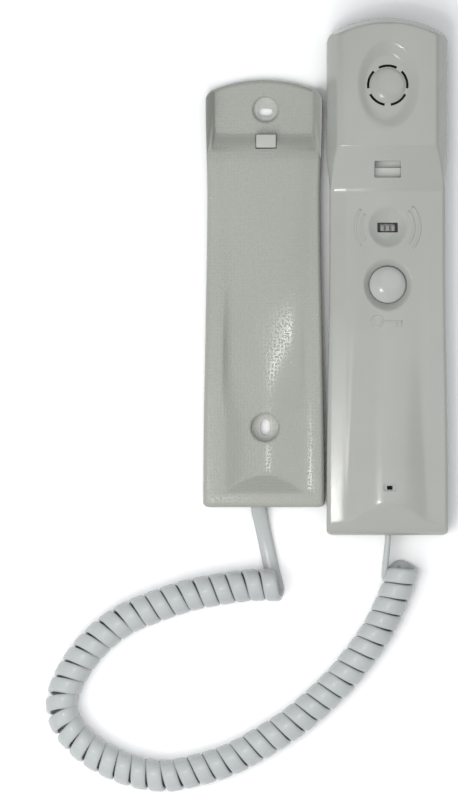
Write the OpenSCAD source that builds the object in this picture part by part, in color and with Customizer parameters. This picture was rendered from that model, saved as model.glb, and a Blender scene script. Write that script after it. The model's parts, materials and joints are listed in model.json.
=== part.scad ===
// Door entry intercom: wall cradle, handset and curly cord, laid flat side by side.
// Backs on z = 0. +X is right, +Y is towards the arched tops, +Z is up from the wall.

/* [Overall] */
// Cradle length, along Y
cradle_len = 175.4; // [150:0.2:200]
// Cradle half width at its foot
cradle_half_w = 24.9; // [20:0.1:35]
// Handset length, along Y
handset_len = 212; // [180:1:240]
// Handset half width at the earpiece end
handset_half_w = 24.9; // [20:0.1:35]
// Height of the line midway between the two rims, about which the handset turns over
turn_z = 15.2; // [12:0.1:20]
// How far the handset moves up the wall as it is hung
dock_shift = 12.3; // [5:0.1:20]
// Face clearance between handset and cradle when hung
dock_gap = 1.2; // [0.8:0.1:3]

/* [Handset shape] */
// Height of the head's side edges
flange_z = 14.6; // [10:0.1:18]
// Height of the body's crown below the slope
body_z = 20.5; // [16:0.1:24]
// How much higher the body's crown is at the foot
foot_rise = 2; // [0:0.1:2]
// Height of the body's side flanges at the foot
edge_foot_z = 18.2; // [14.6:0.1:19]
// Height of the body's side flanges below the slope
edge_top_z = 19.2; // [14.6:0.1:19.4]
// Height of the earpiece face
head_z = 25.4; // [22:0.1:32]
// Height of the joint between the two handset shells
part_z = 7; // [4:0.5:10]
// Wall thickness of all shells
wall = 2; // [1.2:0.1:3]

/* [Controls] */
// Door button radius
button_r = 7.5; // [5:0.1:9]
// Door button travel
button_travel = 1.5; // [0.5:0.1:2]
// Volume slide travel each way
volume_travel = 1.1; // [0.5:0.1:1.2]
// Hook tab travel
hook_travel = 2.5; // [1:0.1:3]

/* [Cord] */
// Coil outside diameter
coil_d = 13.3; // [10:0.1:16]
// Flat cord width
flat_w = 6.2; // [4:0.1:8]
// Flat cord thickness
flat_t = 2.6; // [1.5:0.1:4]

/* [Hidden] */
$fn = 48;

cradle_cx = -25.3;
cradle_y0 = -94.6;
cradle_y1 = cradle_y0 + cradle_len;
cradle_arc_r = 55;
handset_cx = 25.3;
handset_y0 = -106;
handset_y1 = handset_y0 + handset_len;
handset_arc_r = 45;
corner_r = 3;

ridge_y = 53.5;
slope_foot_y = 35.5;
edge_slope = 0.07;
bevel_z = 16.35;
bevel_slope = 0.5;

shelf_z = 3.8;
shelf_foot_y = 59.7;
step_top_y = 51.9;

ear_y = 78.1;
dish_half_w = 13;
dish_half_l = 18.6;
dish_depth = 1.6;
volume_y = 20;
button_y = -3.4;
mic_y = -86.5;
latch_y0 = 40.4;
latch_y1 = 47.2;
latch_half_w = 5.4;

hook_cx = -24.4;
hook_half_w = 4.1;
hook_y0 = 52.9;
hook_y1 = 58.4;

screw_y = [68.6, -61.9];
screw_cx = [-24.6, -24.8];
recess_r = [5.1, 5.7];
seat_z = [1.8, 2.6];
slot_half = 1.7;

plate_t = 1.2;
lead_cradle_x = -27.5;
lead_cradle_z = 3.3;
lead_handset_x = 25.6;
lead_handset_z = 7.6;

// Smooth step from 0 at a to 1 at b
function ease(a, b, x) = let (t = min(1, max(0, (x - a) / (b - a)))) t * t * (3 - 2 * t);
function ramp(a, b, x) = min(1, max(0, (x - a) / (b - a)));
function soft_max(a, b, k) = (a + b + sqrt((a - b) * (a - b) + k * k)) / 2;
function soft_min(a, b, k) = (a + b - sqrt((a - b) * (a - b) + k * k)) / 2;
function lerp(a, b, t) = a + (b - a) * t;

// Handset: half width, and the height of its face at u from the centre line.
// Its body is a crown between flanges, and both flatten out towards the slope.
function handset_hw(y) =
    handset_half_w - 1.2 + 1.2 * ease(36, 50, y) + 1.2 * ease(10, -90, y);
function body_edge(y) = lerp(edge_foot_z, edge_top_z, ease(-70, 30, y));
function body_crown(y) = lerp(0.0145, 0.0035, ease(-70, 30, y));
function body_face(u, y) =
    let (crown = body_z + foot_rise * (1 - ease(-50, 0, y)) - body_crown(y) * u * u)
    soft_max(crown, body_edge(y) + edge_slope * (26 - max(17, abs(u))), 0.8);
function dish(u, y) =
    dish_depth * (1 - ease(0.75, 1, norm([u / dish_half_w, (y - ear_y) / dish_half_l])));
function handset_face(u, y) =
    let (w = handset_hw(y),
         k = ramp(slope_foot_y, ridge_y, y),
         top = lerp(body_face(u, y), head_z - 0.6 * pow(u / 20, 2), k),
         edge = lerp(body_edge(y), flange_z, k),
         z = soft_min(top, edge + 2.3 * (w - abs(u)), 0.1 + 1.1 * k))
    min(z, bevel_z + bevel_slope * (y - handset_y0));

// Cradle: half width, and its face, which follows the hung handset at dock_gap
function cradle_hw(y) =
    cradle_half_w - 1.7 + 0.7 * ease(30, 70, y) + 1.7 * ease(40, -90, y);
function hung_face(u, y) = 2 * turn_z - dock_gap - handset_face(u, y - dock_shift);
function cradle_face(u, y) =
    let (rim = 2 * turn_z - dock_gap - flange_z,
         low_rim = 2 * turn_z - dock_gap - body_edge(y - dock_shift) - 7.5 * edge_slope,
         trough = lerp(min(hung_face(u, y), low_rim), hung_face(u, y),
                       ramp(slope_foot_y + dock_shift - 6, slope_foot_y + dock_shift, y)),
         step = lerp(shelf_z, hung_face(0, step_top_y), ease(shelf_foot_y, step_top_y, y)),
         side = rim - 3 * max(0, cradle_hw(y) - abs(u)),
         shelf = soft_max(step, side, 1),
         z = y > step_top_y ? min(shelf, hung_face(u, y)) : trough)
    min(z, rim);

// The end outlines: an arc at the top and small corners at the foot
function corner_drop(u, w) = corner_r - sqrt(max(0, pow(corner_r, 2) - pow(max(0, abs(u) - (w - corner_r)), 2)));
function arc_drop(u, r) = r - sqrt(r * r - u * u);

// Columns across a shell, closer together near its edges
cols = [for (i = [-10 : 10]) let (t = i / 10) sign(t) * (1.32 * abs(t) - 0.32 * t * t)];
handset_rows = concat(
    [for (t = [0 : 1 / 6 : 1]) lerp(handset_y0, -92, t)],
    [for (t = [1 / 12 : 1 / 12 : 1]) lerp(-92, slope_foot_y, t)],
    [for (t = [1 / 4 : 1 / 4 : 1]) lerp(slope_foot_y, ridge_y, t)],
    [for (t = [1 / 10 : 1 / 10 : 1]) lerp(ridge_y, handset_y1, t)]);
cradle_rows = concat(
    [for (t = [0 : 1 / 8 : 1]) lerp(cradle_y0, -79, t)],
    [for (t = [1 / 12 : 1 / 12 : 1]) lerp(-79, 46, t)],
    [for (t = [1 / 7 : 1 / 7 : 1]) lerp(46, shelf_foot_y, t)],
    [for (t = [1 / 5 : 1 / 5 : 1]) lerp(shelf_foot_y, cradle_y1, t)]);

// One point of a shell's skin: s across, y along, pulled in by inset and lowered by drop
function shell_xy(s, y, inset, is_handset) =
    let (y0 = is_handset ? handset_y0 : cradle_y0,
         y1 = is_handset ? handset_y1 : cradle_y1,
         cx = is_handset ? handset_cx : cradle_cx,
         w = (is_handset ? handset_hw(y) : cradle_hw(y)) - inset,
         u = s * w,
         top = y1 - inset - arc_drop(u, is_handset ? handset_arc_r : cradle_arc_r) - corner_drop(u, w),
         foot = y0 + inset + 0.6 * corner_drop(u, w),
         yb = y1 - 22,
         ya = y0 + 8,
         yy = y > yb ? lerp(yb, top, (y - yb) / (y1 - yb))
            : y < ya ? lerp(foot, ya, (y - y0) / (ya - y0)) : y)
    [cx + u, yy, u];
function shell_point(s, y, inset, drop, is_handset) =
    let (p = shell_xy(s, y, inset, is_handset),
         y1 = is_handset ? handset_y1 : cradle_y1,
         top = y1 - arc_drop(p[2], is_handset ? handset_arc_r : cradle_arc_r),
         face = is_handset ? handset_face(p[2], p[1]) - dish(p[2], p[1]) : cradle_face(p[2], p[1]),
         end = is_handset ? flange_z + 5 * (top - p[1] - inset) : shelf_z + 2)
    [p[0], p[1], (is_handset ? soft_min(face, end, 1.5) : face) - drop];

// Ring round the edge of an nu by nv grid, as [column, row]
function edge_ring(nu, nv) = concat(
    [for (i = [0 : nu]) [i, 0]],
    [for (j = [1 : nv]) [nu, j]],
    [for (i = [nu - 1 : -1 : 0]) [i, nv]],
    [for (j = [nv - 1 : -1 : 1]) [0, j]]);

// A moulded shell that is open below: outer skin, inner skin, and skirts down to z = low
module moulded_shell(rows, is_handset, low) {
    nu = len(cols) - 1;
    nv = len(rows) - 1;
    ring = edge_ring(nu, nv);
    nr = len(ring);
    n = (nu + 1) * (nv + 1);
    outer = [for (j = [0 : nv]) for (i = [0 : nu]) shell_point(cols[i], rows[j], 0, 0, is_handset)];
    inner = [for (j = [0 : nv]) for (i = [0 : nu]) shell_point(cols[i], rows[j], wall, wall, is_handset)];
    outer_low = [for (r = ring) let (p = outer[r[1] * (nu + 1) + r[0]]) [p[0], p[1], low]];
    inner_low = [for (r = ring) let (p = inner[r[1] * (nu + 1) + r[0]]) [p[0], p[1], low]];
    at = function (k) ring[k % nr][1] * (nu + 1) + ring[k % nr][0];
    polyhedron(
        points = concat(outer, inner, outer_low, inner_low),
        faces = concat(
            [for (j = [0 : nv - 1]) for (i = [0 : nu - 1]) each let (a = j * (nu + 1) + i, b = a + nu + 1)
                [[a, b, a + 1], [a + 1, b, b + 1]]],
            [for (j = [0 : nv - 1]) for (i = [0 : nu - 1]) each let (a = n + j * (nu + 1) + i, b = a + nu + 1)
                [[a, a + 1, b], [a + 1, b + 1, b]]],
            [for (k = [0 : nr - 1]) each let (a = at(k), b = at(k + 1), c = 2 * n + k, d = 2 * n + (k + 1) % nr)
                [[a, b, c], [b, d, c]]],
            [for (k = [0 : nr - 1]) each let (a = n + at(k), b = n + at(k + 1), c = 2 * n + nr + k,
                d = 2 * n + nr + (k + 1) % nr)
                [[a, c, b], [b, c, d]]],
            [for (k = [0 : nr - 1]) each let (a = 2 * n + k, b = 2 * n + (k + 1) % nr, c = a + nr, d = b + nr)
                [[a, b, c], [b, d, c]]]),
        convexity = 6);
}

module at_handset(y, z) {
    translate([handset_cx, y, z]) children();
}

module at_cradle(x, y, z) {
    translate([x, y, z]) children();
}

// A block given by its low and high corners
module block(lo, hi) {
    translate(lo) cube(hi - lo);
}

module tube(ro, ri, h) {
    difference() {
        cylinder(r = ro, h = h);
        translate([0, 0, -1]) cylinder(r = ri, h = h + 2);
    }
}

// A round-ended slot through z from 0 to h
module slot(length, r, h, along_x) {
    half = length / 2 - r;
    for (k = [-1, 1])
        translate([along_x ? k * half : 0, along_x ? 0 : k * half, 0]) cylinder(r = r, h = h);
    translate([along_x ? -half : -r, along_x ? -r : -half, 0])
        cube([along_x ? 2 * half : 2 * r, along_x ? 2 * r : 2 * half, h]);
}

// A screw with its head at the origin, standing in -z, and its shank in +z
module screw(head_r, head_h, shank_r, length) {
    difference() {
        union() {
            cylinder(r = head_r, h = head_h);
            cylinder(r = shank_r, h = length);
        }
        for (a = [0, 90]) rotate([0, 0, a])
            translate([-head_r * 0.6, -0.3, -1]) cube([head_r * 1.2, 0.6, 1 + head_h * 0.5]);
    }
}

// A tube swept along a list of points, with each ring square to the route
function unit(v) = v / norm(v);
function heading(path, i) = unit(path[min(i + 1, len(path) - 1)] - path[max(i - 1, 0)]);
module sweep(path, section) {
    np = len(path);
    ns = len(section);
    rings = [for (i = [0 : np - 1])
        let (t = heading(path, i),
             side = unit(cross(abs(t[2]) > 0.95 ? [0, 1, 0] : [0, 0, 1], t)),
             up = cross(t, side))
        for (q = section) path[i] + side * q[0] + up * q[1]];
    polyhedron(
        points = rings,
        faces = concat(
            [[for (k = [ns - 1 : -1 : 0]) k]],
            [for (i = [0 : np - 2]) for (k = [0 : ns - 1]) each
                let (a = i * ns + k, b = i * ns + (k + 1) % ns, c = a + ns, d = b + ns)
                [[a, b, c], [b, d, c]]],
            [[for (k = [0 : ns - 1]) (np - 1) * ns + k]]));
}
function ring_section(r, n) = [for (k = [0 : n - 1]) [r * cos(-360 * k / n), r * sin(-360 * k / n)]];
function flat_section(w, t) = [for (k = [0 : 7])
    let (a = -22.5 - 45 * k)
    [sign(cos(a)) * (w / 2 - t / 4) * min(1, abs(cos(a)) * 2.2) + cos(a) * t / 4, sin(a) * t / 2 / sin(67.5)]];
module coil_spring(r, wire, length, turns) {
    steps = turns * 10;
    sweep([for (i = [0 : steps]) [r * cos(36 * i), r * sin(36 * i), wire + (length - 2 * wire) * i / steps]],
        ring_section(wire, 6));
}

// The route: smooth through hand-chosen points
function catmull(p, i, t) =
    let (n = len(p), a = p[max(0, i - 1)], b = p[i], c = p[i + 1], d = p[min(n - 1, i + 2)])
    0.5 * (2 * b + (c - a) * t + (2 * a - 5 * b + 4 * c - d) * t * t + (3 * b - 3 * c + d - a) * t * t * t);
function smooth_path(p, n) = concat([for (i = [0 : len(p) - 2]) for (k = [0 : n - 1]) catmull(p, i, k / n)],
    [p[len(p) - 1]]);
coil_z = coil_d / 2 + 0.05;
coil_route = [
    [-17, -126.5, coil_z], [-31, -126.5, coil_z], [-45, -128.5, coil_z], [-57, -131, coil_z],
    [-71, -135.8, coil_z], [-83, -141, coil_z], [-94, -149.5, coil_z], [-102, -159.5, coil_z],
    [-107.5, -171, coil_z], [-107.5, -180, coil_z], [-103, -188, coil_z], [-94, -196, coil_z],
    [-80, -202.5, coil_z], [-66, -204.7, coil_z], [-53, -202.5, coil_z], [-39, -198, coil_z],
    [-26, -191, coil_z], [-11.5, -181.5, coil_z], [3.5, -168, coil_z], [12.5, -157.5, coil_z],
    [21, -145.5, coil_z], [27, -133.5, coil_z], [30.5, -122.5, coil_z]];
cradle_lead_route = [
    [lead_cradle_x, -81, lead_cradle_z], [lead_cradle_x, -95, lead_cradle_z],
    [-26.4, -101, 2.2], [-24.6, -110, 1.5], [-22.2, -121.5, 2.2]];
handset_lead_route = [
    [lead_handset_x, -88, lead_handset_z], [lead_handset_x, -107, lead_handset_z],
    [25.2, -112, 7.4], [24.6, -118.5, 7]];

// ---- Cradle ----

// The wall screws' recesses, the hook tab's notch and the cord's way out
module cradle_cuts() {
    for (i = [0, 1]) {
        at_cradle(screw_cx[i], screw_y[i], seat_z[i]) cylinder(r = recess_r[i], h = 20);
        at_cradle(screw_cx[i], screw_y[i] - 1.2 * (1 - i), -1) slot([6.1, 6.7][i], [slot_half, 1.9][i], 5, i == 0);
    }
    block([hook_cx - hook_half_w - 0.4, 49.8, plate_t - 1], [hook_cx + hook_half_w + 0.4, hook_y1 + 0.7, 20]);
    block([lead_cradle_x - 3.6, cradle_y0 - 1, 0], [lead_cradle_x + 3.6, cradle_y0 + 3.4, lead_cradle_z + 1.8]);
}

module cradle_shell() {
    color([0.69, 0.70, 0.65])
    difference() {
        union() {
            moulded_shell(cradle_rows, false, plate_t);
            at_cradle(screw_cx[0], screw_y[0], plate_t) cylinder(r = recess_r[0] + 1.6, h = 1.6);
            at_cradle(screw_cx[1], screw_y[1], plate_t) cylinder(r = recess_r[1] + 1.6, h = 5);
        }
        cradle_cuts();
    }
}

// A flat outline of the cradle, pulled in by inset
function cradle_outline(inset) = concat(
    [for (i = [0 : 3 : len(cols) - 1]) let (p = shell_xy(cols[i], cradle_y1, inset, false)) [p[0], p[1]]],
    [for (j = [0 : 8]) let (y = lerp(56, -84, j / 8)) [cradle_cx + cradle_hw(y) - inset, y]],
    [for (k = [1, -1]) [cradle_cx + k * (cradle_hw(cradle_y0) - inset - 1), cradle_y0 + inset]],
    [for (j = [8 : -1 : 0]) let (y = lerp(56, -84, j / 8)) [cradle_cx - cradle_hw(y) + inset, y]]);

module cradle_back_plate() {
    color([0.60, 0.61, 0.57])
    difference() {
        union() {
            linear_extrude(height = plate_t) polygon(cradle_outline(0.4));
            for (k = [-1, 1])
                block([hook_cx + k * 3.4 - 0.6, 41, 0.5], [hook_cx + k * 3.4 + 0.6, 48.5, 4.6]);
            block([hook_cx - 3, 28.4, 0.5], [hook_cx + 3, 30, 5.2]);
            for (x = [-39, -11], y = [-45, 20])
                at_cradle(x, y, 0.5) cylinder(r = 2.4, h = 1.9);
            block([lead_cradle_x - 3, -91, 0.5], [lead_cradle_x + 3, -83, lead_cradle_z - flat_t / 2]);
        }
        cradle_cuts();
        for (x = [-39, -11], y = [-45, 20])
            at_cradle(x, y, 0.8) cylinder(r = 0.9, h = 5);
    }
}

module hook_tab() {
    color([0.80, 0.81, 0.78])
    union() {
        block([hook_cx - hook_half_w, hook_y0, 2.5], [hook_cx + hook_half_w, hook_y1, 7.2]);
        block([hook_cx - 2.5, 38.4, 2.5], [hook_cx + 2.5, hook_y0 + 0.5, 5]);
    }
}

module hook_spring() {
    color([0.75, 0.76, 0.78])
    translate([hook_cx, 30.02, 3.75]) rotate([-90, 0, 0]) coil_spring(1.4, 0.25, 8.36, 6);
}

module hook_switch() {
    color([0.12, 0.12, 0.13])
    union() {
        block([hook_cx + 4.6, 30, 3.9], [hook_cx + 10.4, 42, 6.2]);
        block([hook_cx + 3, 34, 4.3], [hook_cx + 5, 35.2, 5.6]);
    }
}

module cradle_pcb() {
    color([0.12, 0.36, 0.20])
    difference() {
        union() {
            block([cradle_cx - 17.5, -49.5, 2.4], [cradle_cx + 17.5, 26, 3.9]);
            block([hook_cx + 4.4, 20, 2.4], [cradle_cx + 17.5, 45, 3.9]);
        }
        for (x = [-39, -11], y = [-45, 20])
            at_cradle(x, y, 0) cylinder(r = 1.3, h = 9);
    }
}

module cradle_pcb_screws() {
    color([0.72, 0.72, 0.70])
    for (x = [-39, -11], y = [-45, 20])
        at_cradle(x, y, 5.1) rotate([180, 0, 0]) screw(2.2, 1.2, 0.9, 4.1);
}

module terminal_block() {
    color([0.16, 0.38, 0.24])
    difference() {
        block([cradle_cx + 10.5, -34, 3.9], [cradle_cx + 17, 8, 5.6]);
        for (i = [0 : 5]) {
            at_cradle(cradle_cx + 12.8, -30.5 + 7 * i, 4.2) cylinder(r = 1.7, h = 9);
            block([cradle_cx + 15, -32.2 + 7 * i, 4.3], [cradle_cx + 18, -28.8 + 7 * i, 5.1]);
        }
    }
}

module terminal_screws() {
    color([0.72, 0.70, 0.62])
    for (i = [0 : 5])
        at_cradle(cradle_cx + 12.8, -30.5 + 7 * i, 5.4) rotate([180, 0, 0]) screw(1.6, 1.0, 1.0, 1.2);
}

module cord_clamp() {
    color([0.60, 0.61, 0.57])
    difference() {
        union() {
            block([lead_cradle_x - 8.6, -91.5, 4.7], [lead_cradle_x + 8.6, -86.5, 6]);
            for (k = [-1, 1])
                block([lead_cradle_x + k * 6.4 - 2.2, -91.5, plate_t], [lead_cradle_x + k * 6.4 + 2.2, -86.5, 5]);
        }
        for (k = [-1, 1])
            at_cradle(lead_cradle_x + k * 6.4, -89, 0) cylinder(r = 0.9, h = 9);
    }
}

module cord_clamp_screws() {
    color([0.72, 0.72, 0.70])
    for (k = [-1, 1])
        at_cradle(lead_cradle_x + k * 6.4, -89, 7.2) rotate([180, 0, 0]) screw(1.8, 1.2, 0.9, 5.8);
}

// ---- Handset ----

// Slanted like the slope that the latch pocket is cut in
module latch_prism(half, pts) {
    translate([handset_cx - half, 0, 0])
        rotate([90, 0, 90]) linear_extrude(height = 2 * half) polygon(pts);
}

module grille() {
    difference() {
        rotate_extrude() polygon(concat(
            [[0, 21.5], [9.9, 21.5], [9.9, 23.95], [7.2, 23.95]],
            [for (t = [1 : 6]) [7.2 * cos(15 * t), 23.95 + 1.05 * sin(15 * t)]]));
        for (k = [0 : 4])
            rotate([0, 0, 90 + 72 * k - 27]) translate([0, 0, 20])
                rotate_extrude(angle = 54) translate([7.45, 0]) square([1.15, 6]);
    }
}

module handset_front_shell() {
    shell_screw_y = [56, -68];
    color([0.72, 0.73, 0.68])
    difference() {
        union() {
            difference() {
                union() {
                    moulded_shell(handset_rows, true, part_z);
                    latch_prism(latch_half_w + 1.2, [[39.2, 16.4], [48.4, 16.4], [48.4, 22.8], [39.2, 20.4]]);
                    at_handset(volume_y, 15.5) cylinder(r = 9.6, h = 3.5);
                    at_handset(button_y, 13.45) cylinder(r = 9.7, h = 5.55);
                }
                at_handset(ear_y, 15) cylinder(r = 9.4, h = 15);
                latch_prism(latch_half_w, [[latch_y0, 19.4], [44.4, 19.4], [44.4, 17.6], [latch_y1, 17.6],
                    [latch_y1, 32], [latch_y0, 32]]);
                at_handset(volume_y, 33.9) sphere(r = 15.5);
                at_handset(volume_y, 0) block([-4.2, -2, 15], [4.2, 2, 25]);
                at_handset(volume_y, 0) block([-8.2, -3, 15], [8.2, 3, 16.6]);
                at_handset(button_y, 12) cylinder(r = button_r + 0.25, h = 15);
                at_handset(button_y, 18.3) cylinder(r1 = button_r + 0.25, r2 = 10.6, h = 2.6);
                at_handset(mic_y, 0) block([-1.7, -1.4, 21.7], [3.6, 1.4, 27]);
                at_handset(mic_y, 0) block([-0.3, -0.8, 17], [2, 0.8, 27]);
            }
            at_handset(ear_y, 0) grille();
            at_handset(mic_y, 15) tube(7.6, 6.3, 6);
            for (i = [0, 1])
                at_handset(shell_screw_y[i], part_z + 0.1) cylinder(r = 3.2, h = [17.2, 14][i]);
        }
        for (i = [0, 1])
            at_handset(shell_screw_y[i], 0) cylinder(r = 1.2, h = 17);
        lead_way();
    }
}

// The cord's way in at the foot of the handset, wider than the cord
module lead_way() {
    block([lead_handset_x - flat_t / 2 - 0.3, handset_y0 - 1, lead_handset_z - flat_w / 2 - 0.3],
        [lead_handset_x + flat_t / 2 + 0.3, handset_y0 + 4, lead_handset_z + flat_w / 2 + 0.3]);
}

// Handset outline at an inset, as a closed list of points
function handset_outline(inset) = concat(
    [for (i = [0 : 2 : len(cols) - 1]) let (p = shell_xy(cols[i], handset_y1, inset, true)) [p[0], p[1]]],
    [for (j = [0 : 10]) let (y = lerp(84, -98, j / 10)) [handset_cx + handset_hw(y) - inset, y]],
    [for (k = [1, -1]) [handset_cx + k * (handset_hw(handset_y0) - inset - 1.5), handset_y0 + inset]],
    [for (j = [10 : -1 : 0]) let (y = lerp(84, -98, j / 10)) [handset_cx - handset_hw(y) + inset, y]]);

// A solid lofted through outlines, as [inset, z] pairs from the bottom up
module outline_loft(levels) {
    rings = [for (l = levels) [for (p = handset_outline(l[0])) [p[0], p[1], l[1]]]];
    n = len(rings[0]);
    m = len(levels);
    mid = n * m;
    polyhedron(
        points = concat([for (r = rings) each r],
            [[handset_cx, 0, levels[0][1]], [handset_cx, 0, levels[m - 1][1]]]),
        faces = concat(
            [for (k = [0 : n - 1]) [mid, (k + 1) % n, k]],
            [for (i = [0 : m - 2]) for (k = [0 : n - 1]) each
                let (a = i * n + k, b = i * n + (k + 1) % n, c = a + n, d = b + n)
                [[a, b, c], [b, d, c]]],
            [for (k = [0 : n - 1]) [mid + 1, (m - 1) * n + k, (m - 1) * n + (k + 1) % n]]));
}

module handset_back_shell() {
    shell_screw_y = [56, -68];
    color([0.72, 0.73, 0.68])
    difference() {
        union() {
            difference() {
                outline_loft([[3, 0], [1.4, 0.5], [0.4, 1.8], [0.05, 3.4], [0, part_z]]);
                outline_loft([[4.4, wall], [2.6, 2.8], [2.1, 4.5], [2, part_z + 1]]);
            }
            for (i = [0, 1])
                at_handset(shell_screw_y[i], 0.5) cylinder(r = 4.4, h = part_z - 0.5);
            for (x = [-14, 14], y = [-27, 31])
                at_handset(y, 1) translate([x, 0, 0]) cylinder(r = 2.5, h = 4.2);
            at_handset(ear_y, 1) tube(6, 4.5, 8.3);
        }
        for (i = [0, 1]) {
            at_handset(shell_screw_y[i], -1) cylinder(r = 3, h = 3.6);
            at_handset(shell_screw_y[i], -1) cylinder(r = 1.6, h = 12);
        }
        for (x = [-14, 14], y = [-27, 31])
            at_handset(y, 2.2) translate([x, 0, 0]) cylinder(r = 0.9, h = 9);
        lead_way();
    }
}

module handset_shell_screws() {
    color([0.72, 0.72, 0.70])
    for (y = [56, -68])
        at_handset(y, 0.9) screw(2.7, 1.7, 1.2, 13);
}

module speaker_gasket() {
    color([0.20, 0.20, 0.21])
    at_handset(ear_y, 20.5) tube(13.5, 10.6, 0.95);
}

module speaker_basket() {
    color([0.35, 0.36, 0.38])
    at_handset(ear_y, 0) rotate_extrude() polygon([
        [6.2, 13.3], [9.5, 13.3], [16, 17.6], [16, 20.5], [13.2, 20.5], [13.2, 18.6], [8.6, 14.6], [6.2, 14.6]]);
}

module speaker_cone() {
    color([0.55, 0.53, 0.45])
    at_handset(ear_y, 0) rotate_extrude() polygon([
        [0, 17.2], [4, 16.4], [13.2, 19.4], [13.2, 20], [4, 17], [0, 17.8]]);
}

module speaker_magnet() {
    color([0.30, 0.30, 0.32])
    at_handset(ear_y, 9.3) union() {
        cylinder(r = 8.4, h = 4);
        cylinder(r = 6.2, h = 6.2);
    }
}

module microphone() {
    color([0.66, 0.66, 0.64])
    at_handset(mic_y, 14) cylinder(r = 4.85, h = 5.6);
}

module microphone_boot() {
    color([0.10, 0.10, 0.11])
    at_handset(mic_y, 13.6) tube(6.3, 4.85, 6.7);
}

module handset_pcb() {
    color([0.12, 0.36, 0.20])
    difference() {
        at_handset(0, 5.2) block([-17, -31, 0], [17, 35, 1.6]);
        for (x = [-14, 14], y = [-27, 31])
            at_handset(y, 0) translate([x, 0, 0]) cylinder(r = 1.3, h = 9);
    }
}

module handset_pcb_screws() {
    color([0.72, 0.72, 0.70])
    for (x = [-14, 14], y = [-27, 31])
        at_handset(y, 8) translate([x, 0, 0]) rotate([180, 0, 0]) screw(2.2, 1.2, 0.9, 5);
}

module door_button() {
    color([0.76, 0.77, 0.72])
    at_handset(button_y, 0) rotate_extrude() polygon(concat(
        [[0, 12], [2, 12], [2, 15.2], [5.8, 15.2], [5.8, 12.3], [8.9, 12.3], [8.9, 13.4], [button_r, 13.4],
            [button_r, 19.1]],
        [for (t = [1 : 7]) let (a = 90 * t / 7) [button_r * cos(a), 19.1 + 1.8 * sin(a)]]));
}

module door_button_spring() {
    color([0.75, 0.76, 0.78])
    at_handset(button_y, 6.82) coil_spring(7.2, 0.3, 5.46, 3);
}

module door_switch() {
    color([0.12, 0.12, 0.13])
    union() {
        at_handset(button_y, 6.8) block([-3, -3, 0], [3, 3, 2.9]);
        at_handset(button_y, 9.5) cylinder(r = 1.7, h = 0.8);
    }
}

module volume_slider() {
    color([0.72, 0.73, 0.69])
    at_handset(volume_y, 0) union() {
        block([-6.2, -2.6, 15.6], [6.2, 2.6, 16.3]);
        block([-3, -1.6, 16], [3, 1.6, 17.9]);
        for (k = [-1 : 1])
            block([2.2 * k - 0.7, -1.4, 17.7], [2.2 * k + 0.7, 0.9, 18.9]);
    }
}

module volume_switch() {
    color([0.12, 0.12, 0.13])
    at_handset(volume_y, 0) difference() {
        block([-9.5, -3.6, 11.6], [9.5, 3.6, 15.5]);
        block([-8.3, -5, 15.3], [8.3, 5, 20]);
    }
}

// ---- Cord ----

module curly_cord() {
    color([0.72, 0.74, 0.73])
    sweep(smooth_path(coil_route, 2), ring_section(coil_d / 2, 10));
}

module cradle_lead() {
    color([0.72, 0.74, 0.73])
    sweep(smooth_path(cradle_lead_route, 3), flat_section(flat_w, flat_t));
}

module handset_lead() {
    color([0.72, 0.74, 0.73])
    sweep(smooth_path(handset_lead_route, 3), flat_section(flat_t, flat_w));
}

cradle_shell();
cradle_back_plate();
hook_tab();
hook_spring();
hook_switch();
cradle_pcb();
cradle_pcb_screws();
terminal_block();
terminal_screws();
cord_clamp();
cord_clamp_screws();
handset_front_shell();
handset_back_shell();
handset_shell_screws();
speaker_gasket();
speaker_basket();
speaker_cone();
speaker_magnet();
microphone();
microphone_boot();
handset_pcb();
handset_pcb_screws();
door_button();
door_button_spring();
door_switch();
volume_slider();
volume_switch();
curly_cord();
cradle_lead();
handset_lead();
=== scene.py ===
"""Door entry intercom: a handset beside its wall cradle, joined by a curly cord.

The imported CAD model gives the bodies, the joints and the boxes that everything is placed by. This
script builds the camera, the cord, the moulded shells at full smoothness by the CAD's shape rules,
the controls, and the materials and light.
"""

import json
import math
from collections import namedtuple

import bmesh
import bpy
import numpy as np
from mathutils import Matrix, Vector


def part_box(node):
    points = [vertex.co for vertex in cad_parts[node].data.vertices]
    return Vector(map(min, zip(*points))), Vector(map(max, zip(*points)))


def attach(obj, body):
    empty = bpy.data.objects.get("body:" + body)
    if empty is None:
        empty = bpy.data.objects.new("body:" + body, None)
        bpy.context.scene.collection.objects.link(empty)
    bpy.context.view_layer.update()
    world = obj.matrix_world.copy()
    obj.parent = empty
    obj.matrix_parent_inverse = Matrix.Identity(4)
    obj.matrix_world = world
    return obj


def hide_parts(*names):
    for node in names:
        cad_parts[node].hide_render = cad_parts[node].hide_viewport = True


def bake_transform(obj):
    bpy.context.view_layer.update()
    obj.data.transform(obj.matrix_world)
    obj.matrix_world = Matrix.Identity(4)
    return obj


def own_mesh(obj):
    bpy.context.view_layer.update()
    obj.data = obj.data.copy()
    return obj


MM = 0.001
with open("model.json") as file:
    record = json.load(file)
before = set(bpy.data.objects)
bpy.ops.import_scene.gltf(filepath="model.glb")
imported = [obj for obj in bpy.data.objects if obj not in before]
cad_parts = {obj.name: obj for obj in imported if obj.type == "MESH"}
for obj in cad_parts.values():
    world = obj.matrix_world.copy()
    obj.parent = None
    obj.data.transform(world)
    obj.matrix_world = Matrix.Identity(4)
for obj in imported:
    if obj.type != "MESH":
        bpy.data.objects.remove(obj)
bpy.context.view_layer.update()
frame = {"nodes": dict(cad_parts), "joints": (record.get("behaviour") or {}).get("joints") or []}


def node_box_mm(node):
    """A node's lowest and highest corners at rest."""
    low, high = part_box(node)
    return [c / MM for c in low], [c / MM for c in high]


def middle(node, axis):
    """The middle of a node's box along one axis."""
    low, high = node_box_mm(node)
    return (low[axis] + high[axis]) / 2


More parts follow.
